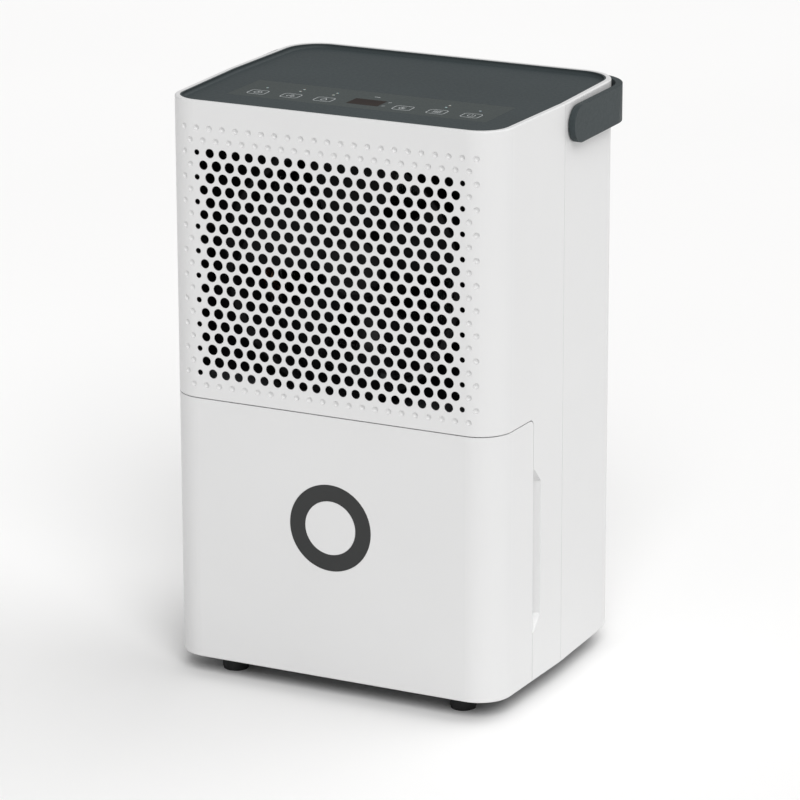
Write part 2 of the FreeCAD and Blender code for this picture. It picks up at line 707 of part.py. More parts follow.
def fan_drive():
    """Three-armed bracket across the back of the duct and the motor that it carries."""
    middle = ("0", "grille_z")
    face = "duct_back + plate_thick"
    span = (face, f"{face} + 2.6")
    arms = [rod("bracket_disc", "y", middle, "30", span)]
    for index in range(3):
        arm = box("bracket_arm", ("-9", "9"), span, ("0", "duct_radius + 8"))
        arm.Placement.Rotation = FreeCAD.Rotation(FreeCAD.Vector(0, 1, 0), 60 + 120 * index)
        arm.setExpression("Placement.Base.x", formula(f"-9 * cos({60 + 120 * index})"))
        arm.setExpression("Placement.Base.z", formula(f"grille_z + 9 * sin({60 + 120 * index})"))
        arms.append(arm)
    eye = rod("bracket_eye", "y", middle, "8", (f"{face} - 1", f"{face} + 4"))
    node("motor_bracket", cut("motor_bracket", join("bracket_blank", *arms), eye))
    can = turned_body("motor_can", (
        ("shaft_radius + 0.3", "2.6"), ("motor_radius - 3", "2.6"), ("motor_radius", "5.6"),
        ("motor_radius", "motor_length - 4"), ("motor_radius - 5", "motor_length"), ("0.01", "motor_length"),
        ("0.01", "11"), ("shaft_radius + 0.3", "11")))
    place_body(can, "0", face, "grille_z", FreeCAD.Rotation(FreeCAD.Vector(1, 0, 0), -90))
    node("fan_motor", can)


def fin_pack(label, depth):
    """Thin plates with clear holes for the tubes, and longer end plates that stand in the tray."""
    rows = [number("tube_low") + index * number("tube_step") for index in range(int(number("tube_rows")))]
    thick = number("fin_thick")
    count = int(number("fin_count"))
    half = number("coil_half")
    plates = []
    for index in range(count):
        last = index in (0, count - 1)
        low = number("deck_low + deck_thick + 2") if last else number("coil_low")
        deep = number("coil_deep")
        corners = [FreeCAD.Vector(0, side * deep / 2, height)
                   for side, height in ((-1, low), (1, low), (1, number("coil_high")), (-1, number("coil_high")))]
        outer = Part.makePolygon(corners + corners[:1])
        rings = [Part.Wire(Part.makeCircle(number("tube_radius + 0.1"), FreeCAD.Vector(0, 0, row),
                                           FreeCAD.Vector(1, 0, 0))) for row in rows]
        face = Part.makeFace([outer] + rings, "Part::FaceMakerBullseye")
        solid = face.extrude(FreeCAD.Vector(thick, 0, 0))
        solid.translate(FreeCAD.Vector(-half + index * (2 * half - thick) / (count - 1), 0, 0))
        plates.append(solid)
    return node(label, feature(label, Part.makeCompound(plates), vector("0", depth, "0")))


def bent_wire(points, bend):
    """Straight runs through the points, joined by tangent arcs."""
    edges = []
    start = points[0]
    for before, corner, after in zip(points, points[1:], points[2:]):
        into = (corner - before).normalize()
        out = (after - corner).normalize()
        turn = into.getAngle(out)
        back = bend * math.tan(turn / 2)
        first = corner - into * back
        last = corner + out * back
        bisector = (out - into).normalize()
        middle = corner + bisector * (bend / math.cos(turn / 2) - bend)
        edges.append(Part.LineSegment(start, first).toShape())
        edges.append(Part.Arc(first, middle, last).toShape())
        start = last
    edges.append(Part.LineSegment(start, points[-1]).toShape())
    return Part.Wire(edges)


def tube(label, points, radius, bend):
    """A round pipe along straight runs and arcs; checks its volume against its length."""
    path = bent_wire(points, bend)
    start = path.Edges[0]
    ring = Part.Wire(Part.makeCircle(radius, points[0], start.tangentAt(start.FirstParameter)))
    pipe = path.makePipeShell([ring], True, True)
    expected = math.pi * radius ** 2 * path.Length
    if abs(pipe.Volume - expected) > 0.02 * expected:
        raise RuntimeError(f"{label} has the wrong volume")
    return node(label, feature(label, pipe))


def coil_tube(label, side, depth):
    """One serpentine tube through a fin pack, with both ends on the given side."""
    rows = int(number("tube_rows"))
    reach = number("coil_half + 15")
    points = [FreeCAD.Vector(side * number("coil_half + 3"), number(depth), number("tube_low"))]
    for index in range(rows):
        height = number("tube_low") + index * number("tube_step")
        far = -side * reach if index % 2 == 0 else side * reach
        if index < rows - 1:
            points.append(FreeCAD.Vector(far, number(depth), height))
            points.append(FreeCAD.Vector(far, number(depth), height + number("tube_step")))
        else:
            points.append(FreeCAD.Vector(side * number("coil_half + 3"), number(depth), height))
    return tube(label, points, number("tube_radius"), number("tube_step / 2") - 0.01)


def heat_exchangers():
    fin_pack("condenser_fins", "condenser_y")
    fin_pack("evaporator_fins", "evaporator_y")
    coil_tube("condenser_tube", -1, "condenser_y")
    coil_tube("evaporator_tube", 1, "evaporator_y")


def drip_tray():
    """Tray under the coils with a forward gutter to the spout and a rear drain spigot."""
    low = "deck_low + deck_thick"
    blank = [
        box("tray_box", ("-112", "112"), ("condenser_y - 16", "evaporator_y + 16"), (low, f"{low} + 12")),
        box("gutter_box", ("-14", "14"), ("tank_back_y - 24", "condenser_y - 14"), (low, f"{low} + 12")),
        rod("spout", "z", ("0", "tank_back_y - 12"), "7.5", ("bucket_top + 8", f"{low} + 1")),
        rod("spigot", "y", ("spigot_x", "spigot_z"), "spigot_radius", ("evaporator_y + 15", "back_y - 1")),
    ]
    hollow = [
        box("tray_hollow", ("-110", "110"), ("condenser_y - 14", "evaporator_y + 14"), (f"{low} + 2", f"{low} + 13")),
        box("gutter_hollow", ("-12", "12"), ("tank_back_y - 22", "condenser_y - 13"), (f"{low} + 2", f"{low} + 13")),
        rod("spout_bore", "z", ("0", "tank_back_y - 12"), "5.5", ("bucket_top + 7", f"{low} + 3")),
        rod("spigot_bore_tool", "y", ("spigot_x", "spigot_z"), "spigot_bore", ("evaporator_y + 13", "back_y")),
    ]
    node("drip_tray", cut("drip_tray", join("drip_blank", *blank), *hollow))
    stem = rod("plug_stem", "y", ("spigot_x", "spigot_z"), "spigot_bore - 0.1", ("back_y - 10", "back_y - 0.4"))
    cap = rod("plug_cap", "y", ("spigot_x", "spigot_z"), "8", ("back_y - 0.5", "back_y + 4"))
    node("drain_plug", join("drain_plug", stem, cap))


def air_filter():
    """Pull-out filter: a slatted frame flush with the rear cover and a fine mesh behind it."""
    frame = box("filter_blank", ("-filter_half", "filter_half"), ("filter_front", "back_y"),
                ("filter_low", "filter_high"))
    windows = []
    count = 13
    for side in (-1, 1):
        reach = sorted((f"{side} * 3", f"{side} * (filter_half - 8)"), key=number)
        for index in range(count):
            step = f"(filter_high - filter_low - 16) / {count}"
            low = f"filter_low + 8 + {index} * {step}"
            windows.append(box("filter_window", reach, ("filter_front - 1", "back_y + 1"),
                               (f"{low} + 1.3", f"{low} + {step} - 1.3")))
    hollow = box("filter_hollow", ("-filter_half + 5", "filter_half - 5"), ("filter_front - 1", "back_y - 4"),
                 ("filter_low + 5", "filter_high - 5"))
    node("filter_frame", cut("filter_frame", frame, hollow, *windows))
    node("filter_mesh", box("filter_mesh", ("-filter_half + 5.2", "filter_half - 5.2"),
                            ("back_y - 4.8", "back_y - 4"), ("filter_low + 5.2", "filter_high - 5.2")))


# ---------------------------------------------------------------- refrigeration and electrics

def lug_spots():
    """Compressor feet, at 120 degrees about its axis."""
    return [(f"compressor_x + 46 * cos({angle})", f"compressor_y + 46 * sin({angle})") for angle in (0, 120, 240)]


def compressor():
    """Domed can on three lugs, rubber grommets and the suction accumulator beside it."""
    can = turned_body("compressor_can", (
        ("0.01", "30"), ("compressor_radius - 8", "30"), ("compressor_radius", "40"), ("compressor_radius", "152"),
        ("compressor_radius - 5", "162"), ("compressor_radius - 16", "169"), ("8", "171"), ("8", "176"),
        ("0.01", "176")))
    place_body(can, "compressor_x", "compressor_y", "0")
    lugs = []
    for angle, spot in zip((0, 120, 240), lug_spots()):
        lugs.append(rod("lug_end", "z", spot, "8", ("30", "33")))
        arm = box("lug_arm", ("0", "46"), ("-8", "8"), ("30", "33"))
        arm.Placement.Rotation = FreeCAD.Rotation(FreeCAD.Vector(0, 0, 1), angle)
        arm.setExpression("Placement.Base.x", formula(f"compressor_x + 8 * sin({angle})"))
        arm.setExpression("Placement.Base.y", formula(f"compressor_y - 8 * cos({angle})"))
        lugs.append(arm)
    node("compressor", join("compressor", can, *lugs))
    grommets = [rod("grommet", "z", spot, "7.6", ("body_low + base_thick + 3.3", "30")) for spot in lug_spots()]
    node("compressor_grommets", group("compressor_grommets", grommets))
    bottle = turned_body("accumulator_bottle", (
        ("0.01", "70"), ("6", "70"), ("16", "80"), ("16", "138"), ("6", "150"), ("0.01", "150")))
    place_body(bottle, "compressor_x + 64", "evaporator_y", "0")
    node("accumulator", bottle)


def pipework():
    """Copper runs between compressor, coils and accumulator, drier and capillary."""
    left = "-127"
    right = "127"
    top_row = "tube_low + tube_step * (tube_rows - 1)"
    tube("discharge_pipe", [
        vector("compressor_x", "compressor_y", "176"), vector("compressor_x", "compressor_y", "198"),
        vector("compressor_x", "condenser_y", "198"), vector(left, "condenser_y", "198"),
        vector(left, "condenser_y", top_row), vector("-coil_half - 3", "condenser_y", top_row)], 3.0, 9.0)
    tube("suction_pipe", [
        vector("compressor_x + 64", "evaporator_y", "150"), vector("compressor_x + 64", "evaporator_y", "203"),
        vector(right, "evaporator_y", "203"), vector(right, "evaporator_y", "tube_low"),
        vector("coil_half + 3", "evaporator_y", "tube_low")], 3.5, 9.0)
    between = "condenser_y / 2 + evaporator_y / 2"
    tube("liquid_line", [
        vector("-coil_half - 3", "condenser_y", "tube_low"), vector("-coil_half - 11", "condenser_y", "tube_low"),
        vector("-coil_half - 11", between, "tube_low"), vector("-coil_half - 11", between, "285")], 2.0, 4.0)
    drier = turned_body("drier_body", (
        ("0.01", "285"), ("3", "285"), ("7", "293"), ("7", "337"), ("3", "345"), ("0.01", "345")))
    node("filter_drier", place_body(drier, "-coil_half - 11", between, "0"))
    tube("capillary_tube", [
        vector("-coil_half - 11", between, "345"), vector("-coil_half - 11", between, "420"),
        vector("coil_half + 19", between, "420"), vector("coil_half + 19", "evaporator_y", "420"),
        vector("coil_half + 19", "evaporator_y", top_row),
        vector("coil_half + 3", "evaporator_y", top_row)], 1.3, 5.0)
    tube("suction_elbow", [
        vector("compressor_x + 64", "evaporator_y", "70"), vector("compressor_x + 64", "evaporator_y", "55"),
        vector("compressor_x + 56", "compressor_y + 3", "55"),
        vector("compressor_x + compressor_radius + 0.6", "compressor_y", "55")], 3.0, 4.0)


def electrics():
    """Terminal box with its lid, power board, run capacitor, sensors and the cord's inlet."""
    x, y, z = ("45", "126"), ("8", "78"), ("body_low + base_thick", "128")
    shell = box("electrical_blank", x, y, z)
    hollow = box("electrical_hollow", ("47", "124"), ("10", "76"), ("body_low + base_thick + 2", "130"))
    node("electrical_box", cut("electrical_box", shell, hollow))
    node("electrical_lid", box("electrical_lid", x, y, ("128", "130")))
    board = box("board_sheet", ("50", "51.6"), ("13", "73"), ("body_low + base_thick + 2", "118"))
    relay = box("board_relay", ("51.6", "66"), ("20", "38"), ("40", "58"))
    choke = box("board_choke", ("51.6", "70"), ("46", "68"), ("78", "100"))
    node("power_board", join("power_board", board, relay, choke))
    node("run_capacitor", rod("run_capacitor", "z", ("100", "45"), "17", ("body_low + base_thick + 2", "96")))
    node("humidity_sensor", box("humidity_sensor", ("106", "114"), ("filter_front", "filter_front + 8"), ("300", "320")))
    node("tank_switch", box("tank_switch", ("float_x - 10", "float_x + 10"),
                            ("tank_back_y + 3", "tank_back_y + 5.5"), ("float_z - 8", "float_z + 10")))
    flange = rod("inlet_flange", "y", ("cord_x", "cord_z"), "10", ("back_y", "back_y + 3"))
    barrel = rod("inlet_barrel", "y", ("cord_x", "cord_z"), "7", ("back_y - 8", "back_y + 1"))
    bore = rod("inlet_bore", "y", ("cord_x", "cord_z"), "3.6", ("back_y - 9", "back_y + 4"))
    node("cord_inlet", cut("cord_inlet", join("inlet_blank", flange, barrel), bore))


def screws():
    """Rear cover screws and base screws, each group in one node."""
    rear = []
    for spot in screw_spots():
        head = rod("cover_head", "y", spot, "3.6", ("back_y - 2", "back_y - 0.4"))
        slot = box("cover_slot", ("-2.4", "2.4"), ("back_y - 1.2", "back_y"), ("-0.5", "0.5"))
        slot.setExpression("Placement.Base.x", formula(f"{spot[0]} - 2.4"))
        slot.setExpression("Placement.Base.z", formula(f"{spot[1]} - 0.5"))
        shank = rod("cover_shank", "y", spot, "1.7", ("back_y - 15", "back_y - 1.9"))
        rear.append(cut("cover_screw", join("cover_screw_blank", head, shank), slot))
    node("cover_screws", group("cover_screws", rear))
    under = []
    for spot in base_screw_spots():
        head = rod("base_head", "z", spot, "3.6", ("body_low - 1.6", "body_low"))
        shank = rod("base_shank", "z", spot, "1.7", ("body_low - 0.1", "body_low + base_thick - 0.2"))
        under.append(join("base_screw", head, shank))
    node("base_screws", group("base_screws", under))


# ---------------------------------------------------------------- tank

def tank_front(shell):
    """The tank's outer front with side wings, grip lips, a top ledge and the window's hole."""
    region = pad_body("tank_region", "YZ_Plane", (
        ("front_y - 1", "body_low - 1"), ("wing_y", "body_low - 1"), ("wing_y", "tank_top"),
        ("front_y - 1", "tank_top"),
    ), "-150", "150")
    rear, high = number("wing_y"), number("tank_top")
    round_edges(region, "wing_round", lambda edge: (
        edge.BoundBox.XLength > 1 and abs(edge.BoundBox.YMin - rear) < 0.01
        and abs(edge.BoundBox.ZMin - high) < 0.01))
    walls = common("tank_walls", shell, region)
    ledge = outline("tank_ledge_blank", "wall_thick - 0.5", "tank_top - 2.6", "tank_top", "23", "3")
    opening = outline("tank_ledge_mouth", "wall_thick + 7", "tank_top - 4", "tank_top + 1", "16", "3")
    keep = box("tank_ledge_keep", ("-150", "150"), ("front_y", "wing_y - 8"), ("0", "tank_top"))
    rim = common("tank_ledge", cut("tank_ledge_ring", ledge, opening), keep)
    lips = []
    for side in (-1, 1):
        reach = sorted((f"{side} * (seam_half - 12)", f"{side} * (seam_half - 4)"), key=number)
        lips.append(box("grip_lip", reach, ("wing_y - 2.6", "wing_y"), ("scoop_low + 4", "scoop_high - 4")))
    blank = join("tank_front_blank", walls, rim, *lips)
    hole = rod("ring_hole", "y", ("0", "ring_z"), "ring_outer + 0.15", ("front_y - 1", "front_y + wall_thick + 1"))
    return node("tank_front", cut("tank_front", blank, hole))


def level_window():
    """Smoked ring set flush in the tank front, with a white disc in its middle."""
    rim = rod("window_rim", "y", ("0", "ring_z"), "ring_outer", ("front_y", "front_y + wall_thick"))
    flange = rod("window_flange", "y", ("0", "ring_z"), "ring_outer + 4",
                 ("front_y + wall_thick", "front_y + wall_thick + 1.4"))
    bore = rod("window_bore", "y", ("0", "ring_z"), "ring_inner", ("front_y - 1", "front_y + wall_thick + 2"))
    node("level_window", cut("level_window", join("window_blank", rim, flange), bore))
    disc = rod("cap_disc", "y", ("0", "ring_z"), "ring_inner - 0.15", ("front_y", "front_y + wall_thick + 1.4"))
    back = rod("cap_back", "y", ("0", "ring_z"), "ring_inner + 4",
               ("front_y + wall_thick + 1.4", "front_y + wall_thick + 2.4"))
    node("window_cap", join("window_cap", disc, back))


def rounded_block(name, half, front, back, low, high, radius):
    body = pad_body(name, "XY_Plane", (
        (half, front), (half, back), (f"-({half})", back), (f"-({half})", front)), low, high)
    return round_edges(body, radius, upright)


def tank_bucket():
    """Open bucket with pads that meet the tank front and lugs for the float's pin."""
    front = "front_y + wall_thick + 2.6"
    outer = rounded_block("bucket_outer", "bucket_half", front, "tank_back_y", "bucket_low", "bucket_top",
                          "bucket_round")
    inner = rounded_block("bucket_inner", "bucket_half - bucket_wall", f"{front} + bucket_wall",
                          "tank_back_y - bucket_wall", "bucket_low + bucket_wall", "bucket_top + 1",
                          "bucket_round - bucket_wall")
    hollow = cut("bucket_hollow", outer, inner)
    pads = [rod("bucket_pad", "y", (f"{side} * 84", height), "5", ("front_y + wall_thick", f"{front} + 0.5"))
            for side in (-1, 1) for height in ("45", "185")]
    lugs = []
    for side in (-1, 1):
        reach = sorted((f"float_x + {side} * 13", f"float_x + {side} * 10"), key=number)
        lugs.append(box("float_lug", reach, ("float_y - 5", "tank_back_y - bucket_wall / 2"),
                        ("float_z - 5", "float_z + 5")))
    pin = ("float_x - 14", "float_x + 14")
    eye = rod("float_lug_hole", "x", ("float_y", "float_z"), "2.1", pin)
    node("tank_bucket", cut("tank_bucket", join("bucket_blank", hollow, *pads, *lugs), eye))
    node("float_pin", rod("float_pin", "x", ("float_y", "float_z"), "2", pin))


def tank_lid():
    """Lid that sits on the bucket's rim, with a skirt inside it and the inlet for the spout."""
    front = "front_y + wall_thick + 2.6"
    plate = rounded_block("lid_plate", "bucket_half", front, "tank_back_y", "bucket_top", "bucket_top + 2.4",
                          "bucket_round")
    skirt = rounded_block("lid_skirt", "bucket_half - bucket_wall - 0.4", f"{front} + bucket_wall + 0.4",
                          "tank_back_y - bucket_wall - 0.4", "bucket_top - 5", "bucket_top + 0.1",
                          "bucket_round - bucket_wall - 0.4")
    inside = rounded_block("lid_inside", "bucket_half - bucket_wall - 2", f"{front} + bucket_wall + 2",
                           "tank_back_y - bucket_wall - 2", "bucket_top - 6", "bucket_top",
                           "bucket_round - bucket_wall - 2")
    cup = rod("lid_cup", "z", ("0", "tank_back_y - 14"), "13", ("bucket_top", "bucket_top + 5"))
    mouth = rod("lid_mouth", "z", ("0", "tank_back_y - 14"), "11", ("bucket_top - 7", "bucket_top + 6"))
    pour = rod("lid_pour", "z", ("-94", "-70"), "12", ("bucket_top - 7", "bucket_top + 6"))
    return node("tank_lid", cut("tank_lid", join("lid_blank", plate, skirt, cup), inside, mouth, pour))


def tank_float():
    """Foam float on a hinged arm; its magnet faces the switch on the bay wall."""
    arm = box("float_arm", ("float_x - 6", "float_x + 6"), ("float_y - 34", "float_y"), ("float_z - 2", "float_z + 2"))
    barrel = rod("float_barrel", "x", ("float_y", "float_z"), "4", ("float_x - 9.4", "float_x + 9.4"))
    stem = box("float_stem", ("float_x - 4", "float_x + 4"), ("float_y - 34", "float_y - 24"),
               ("float_z - 12", "float_z"))
    bore = rod("float_bore", "x", ("float_y", "float_z"), "2.06", ("float_x - 12", "float_x + 12"))
    node("float_arm", cut("float_arm", join("float_arm_blank", arm, barrel, stem), bore))
    block = pad_body("float_block", "XY_Plane", (
        ("float_x - 16", "float_y - 52"), ("float_x + 16", "float_y - 52"), ("float_x + 16", "float_y - 14"),
        ("float_x - 16", "float_y - 14")), "float_z - 34", "float_z - 12")
    round_edges(block, "5", upright)
    node("float_block", block)
    node("float_magnet", rod("float_magnet", "z", ("float_x", "float_y - 28"), "4", ("float_z + 2", "float_z + 5")))


# ---------------------------------------------------------------- assembly and export

def build():
    fill_sheet()
    shell = full_shell()
    front_housing(shell)
    rear_cover(shell)
    base_plate()
    middle_deck()
    bay_wall()
    feet()
    top_panel()
    controls()
    handle()
    fan_shroud()
    fan_rotor()
    fan_drive()
    heat_exchangers()
    drip_tray()
    air_filter()
    compressor()
    pipework()
    electrics()
    screws()
    tank_front(shell)
    level_window()
    tank_bucket()
    tank_lid()
    tank_float()
    doc.recompute()


def check():
    for item in doc.Objects:
        if "Invalid" in item.State or "Error" in item.State:
            raise RuntimeError(f"{item.Label} failed: {item.State}")
    for label, item in nodes.items():
        shape = item.Shape
        if shape.isNull() or not shape.isValid() or not shape.Solids:
            raise RuntimeError(f"{label} has no valid solid")


def write():
    os.makedirs("parts", exist_ok=True)
    for label, item in nodes.items():
        item.Shape.exportStep(f"parts/{label}.step")


build()
check()
write()
for label, item in nodes.items():
    ends = item.Shape.BoundBox
    print(f"{label:22s} {len(item.Shape.Solids):3d} solids {item.Shape.Volume:12.1f} mm3  "
          f"x {ends.XMin:7.1f} {ends.XMax:7.1f}  y {ends.YMin:7.1f} {ends.YMax:7.1f}  "
          f"z {ends.ZMin:6.1f} {ends.ZMax:6.1f}")
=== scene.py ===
"""Looks of a compact dehumidifier around its fixed CAD frame.

Metres, +Z up, the front grille faces -Y. Places come from the frame's own boxes.
"""

import json
import math

import bmesh
import bpy
from mathutils import Matrix, Vector


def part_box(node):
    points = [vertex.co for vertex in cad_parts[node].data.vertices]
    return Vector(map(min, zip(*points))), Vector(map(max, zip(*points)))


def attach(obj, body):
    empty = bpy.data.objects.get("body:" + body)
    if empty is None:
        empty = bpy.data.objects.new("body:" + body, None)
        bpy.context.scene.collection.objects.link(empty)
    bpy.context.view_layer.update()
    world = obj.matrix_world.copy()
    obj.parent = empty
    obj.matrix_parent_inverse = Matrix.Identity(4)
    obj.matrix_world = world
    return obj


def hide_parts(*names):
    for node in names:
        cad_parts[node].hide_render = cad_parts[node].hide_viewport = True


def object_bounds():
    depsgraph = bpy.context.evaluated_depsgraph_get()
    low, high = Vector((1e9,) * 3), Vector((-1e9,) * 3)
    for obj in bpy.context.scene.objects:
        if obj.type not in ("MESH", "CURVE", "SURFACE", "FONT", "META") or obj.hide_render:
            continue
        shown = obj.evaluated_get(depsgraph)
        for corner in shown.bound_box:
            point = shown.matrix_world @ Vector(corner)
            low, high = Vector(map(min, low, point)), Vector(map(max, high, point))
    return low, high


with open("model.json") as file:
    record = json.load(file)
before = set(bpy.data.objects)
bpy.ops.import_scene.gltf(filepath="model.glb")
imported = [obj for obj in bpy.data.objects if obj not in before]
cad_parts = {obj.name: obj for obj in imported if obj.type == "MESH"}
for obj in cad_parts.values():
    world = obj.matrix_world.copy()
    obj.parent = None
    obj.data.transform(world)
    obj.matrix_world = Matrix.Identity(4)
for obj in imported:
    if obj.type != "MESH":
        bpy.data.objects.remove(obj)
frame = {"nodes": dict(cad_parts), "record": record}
cad_low, cad_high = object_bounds()

MM = 0.001
NODES = frame["nodes"]
CENTRE = (cad_low + cad_high) / 2


# ---------------------------------------------------------------- node helpers

class Finish:
    """One procedural material: a Principled shader and the textures that feed it."""

    def __init__(self, name, **sockets):
        self.material = bpy.data.materials.new(name)
        self.material.use_nodes = True
        self.tree = self.material.node_tree
        self.shader = self.tree.nodes["Principled BSDF"]
        self.last_bump = None
        self.place = self.tree.nodes.new("ShaderNodeTexCoord").outputs["Object"]
        for label, value in sockets.items():
            self.set(label.replace("_", " "), value)

    def set(self, label, value):
        self.shader.inputs[label].default_value = value

    def node(self, kind, **values):
        made = self.tree.nodes.new(kind)
        for label, value in values.items():
            if label in made.inputs:
                made.inputs[label].default_value = value
            else:
                setattr(made, label, value)
        return made

    def link(self, source, target):
        self.tree.links.new(source, target)

    def stretched(self, scale):
        """Object coordinates multiplied along each axis."""
        mapping = self.node("ShaderNodeMapping")
        mapping.inputs["Scale"].default_value = scale
        self.link(self.place, mapping.inputs["Vector"])
        return mapping.outputs["Vector"]

    def noise(self, size, detail=3.0, stretch=None, roughness=0.5):
        """Soft noise whose features are about size metres across."""
        made = self.node("ShaderNodeTexNoise", Scale=1.0 / size, Detail=detail, Roughness=roughness)
        self.link(self.stretched(stretch) if stretch else self.place, made.inputs["Vector"])
        return made.outputs["Fac"]

    def cells(self, size, feature="F1"):
        """Distances in a cellular pattern whose cells are about size metres across."""
        made = self.node("ShaderNodeTexVoronoi", Scale=1.0 / size, feature=feature)
        self.link(self.place, made.inputs["Vector"])
        return made.outputs["Distance"]

    def maths(self, operation, first, second=None):
        """A Math node on one or two values or sockets."""
        made = self.node("ShaderNodeMath", operation=operation)
        for socket, value in zip(made.inputs, (first, second)):
            if isinstance(value, bpy.types.NodeSocket):
                self.link(value, socket)
            elif value is not None:
                socket.default_value = value
        return made.outputs[0]

    def ramp(self, source, stops):
        """A colour ramp through (position, colour) stops."""
        made = self.node("ShaderNodeValToRGB")
        ends = made.color_ramp.elements
        while len(ends) < len(stops):
            ends.new(0.5)
        for end, (place, colour) in zip(ends, stops):
            end.position = place
            end.color = (*colour, 1.0)
        self.link(source, made.inputs["Fac"])
        return made.outputs["Color"]

    def between(self, source, low, high, start=0.0, stop=1.0):
        """The source's range from start to stop, mapped to low and high."""
        made = self.node("ShaderNodeMapRange")
        for label, value in (("From Min", start), ("From Max", stop), ("To Min", low), ("To Max", high)):
            made.inputs[label].default_value = value
        self.link(source, made.inputs["Value"])
        return made.outputs["Result"]

    def colour(self, source, stops):
        self.link(self.ramp(source, stops), self.shader.inputs["Base Color"])
        return self

    def roughness(self, source, low, high):
        self.link(self.between(source, low, high, 0.3, 0.7), self.shader.inputs["Roughness"])
        return self

    def bump(self, source, depth, strength=1.0):
        """Surface relief; depth is in metres."""
        made = self.node("ShaderNodeBump", Strength=strength, Distance=depth)
        self.link(source, made.inputs["Height"])
        if self.last_bump:
            self.link(self.last_bump, made.inputs["Normal"])
        self.last_bump = made.outputs["Normal"]
        self.link(self.last_bump, self.shader.inputs["Normal"])
        return self


def shade(colour, factor):
    return tuple(min(1.0, part * factor) for part in colour)


# ---------------------------------------------------------------- materials

def moulded(name, colour, rough, grain, depth, variation=0.03, **sockets):
    """Injection-moulded plastic: faint colour drift, an eroded grain and slightly uneven gloss."""
    made = Finish(name, **sockets)
    drift = made.noise(0.09, 2.0)
    made.colour(drift, ((0.3, shade(colour, 1 - variation)), (0.7, shade(colour, 1 + variation))))
    made.roughness(made.noise(grain * 6, 4.0), rough - 0.04, rough + 0.05)
    made.bump(made.noise(grain, 2.0), depth)
    return made


SHELL_WHITE = (0.725, 0.725, 0.725)
CORNER_ROUND = 25.6 * MM        # plan radius of the front corners
CORNER_X = 108.5 * MM           # middle of a front corner's radius, to each side of the centre plane
SIDE_TAPER = 0.0354             # how far the sides open out for each metre behind the front face
PAINTED_SHADE_INSET = 2.4 * MM               # depth below the outer face at which the painted shade starts
CHAMBER_LOW = 219.5 * MM
CHAMBER_HIGH = 431.0 * MM


def shell_finish(name):
    """Satin white moulding with the faint unevenness of a large flat wall."""
    made = moulded(name, SHELL_WHITE, 0.34, 0.0005, 0.000012, 0.008, Specular_IOR_Level=0.45)
    return made.bump(made.noise(0.06, 1.0), 0.00015, 0.25)


def white_shell():
    return shell_finish("white_shell").material


def shell_with_painted_shade():
    """White outside, with painted shade: the grille chamber's inner faces are coloured near-black for the
    dark inside the housing.
    """
    made = shell_finish("shell_with_painted_shade")
    parts = made.node("ShaderNodeSeparateXYZ")
    made.link(made.place, parts.inputs[0])
    x, y, z = (parts.outputs[axis] for axis in ("X", "Y", "Z"))
    behind_front = made.maths("SUBTRACT", y, cad_low.y)
    widening = made.maths("MULTIPLY", behind_front, SIDE_TAPER)
    squared_x = made.maths("SUBTRACT", made.maths("ABSOLUTE", x), widening)
    across = made.maths("MAXIMUM", made.maths("SUBTRACT", squared_x, CORNER_X), 0.0)
    ahead = made.maths("MAXIMUM", made.maths("SUBTRACT", cad_low.y + CORNER_ROUND, y), 0.0)
    across_squared = made.maths("POWER", across, 2.0)
    ahead_squared = made.maths("POWER", ahead, 2.0)
    reach = made.maths("SQRT", made.maths("ADD", across_squared, ahead_squared))
    inner = made.maths("LESS_THAN", reach, CORNER_ROUND - PAINTED_SHADE_INSET)
    above = made.maths("GREATER_THAN", z, CHAMBER_LOW)
    below = made.maths("LESS_THAN", z, CHAMBER_HIGH)
    shade_mask = made.maths("MULTIPLY", inner, made.maths("MULTIPLY", above, below))
    mixed = made.node("ShaderNodeMix", data_type="RGBA")
    made.link(shade_mask, mixed.inputs["Factor"])
    made.link(made.shader.inputs["Base Color"].links[0].from_socket, mixed.inputs[6])
    # painted shade: a near-black colour standing for the dark inside the grille chamber
    chamber_shade = made.ramp(made.noise(0.003), ((0.3, (0.009, 0.009, 0.010)), (0.7, (0.014, 0.014, 0.015))))
    made.link(chamber_shade, mixed.inputs[7])
    made.link(mixed.outputs[2], made.shader.inputs["Base Color"])
    return made.material


def slate_plastic():
    return moulded("slate_plastic", (0.039, 0.050, 0.053), 0.55, 0.00045, 0.00003, 0.05,
                   Specular_IOR_Level=0.22).material


def overlay_film():
    return moulded("overlay_film", (0.043, 0.054, 0.053), 0.5, 0.00025, 0.000012, 0.04,
                   Specular_IOR_Level=0.28).material


def display_lens():
    made = Finish("display_lens", Roughness=0.5, Specular_IOR_Level=0.1)
    made.colour(made.noise(0.02, 2.0), ((0.35, (0.018, 0.012, 0.010)), (0.65, (0.026, 0.018, 0.015))))
    return made.bump(made.noise(0.0008, 2.0), 0.000004).material


def smoke_ring():
    return moulded("smoke_ring", (0.026, 0.027, 0.027), 0.34, 0.0006, 0.000008, 0.06,
                   Specular_IOR_Level=0.35).material


def black_plastic():
    return moulded("black_plastic", (0.008, 0.008, 0.009), 0.62, 0.0006, 0.00003, 0.12,
                   Specular_IOR_Level=0.25).material


def grey_plastic():
    return moulded("grey_plastic", (0.10, 0.105, 0.11), 0.45, 0.0006, 0.00003, 0.04).material


def black_rubber():
    made = moulded("black_rubber", (0.016, 0.016, 0.017), 0.62, 0.0009, 0.00006, 0.2, Specular_IOR_Level=0.35)
    return made.bump(made.cells(0.0011), 0.00003, 0.5).material


def float_foam():
    made = moulded("float_foam", (0.74, 0.74, 0.71), 0.8, 0.002, 0.0001, 0.03)
    return made.bump(made.cells(0.0014), 0.0002, 0.8).material


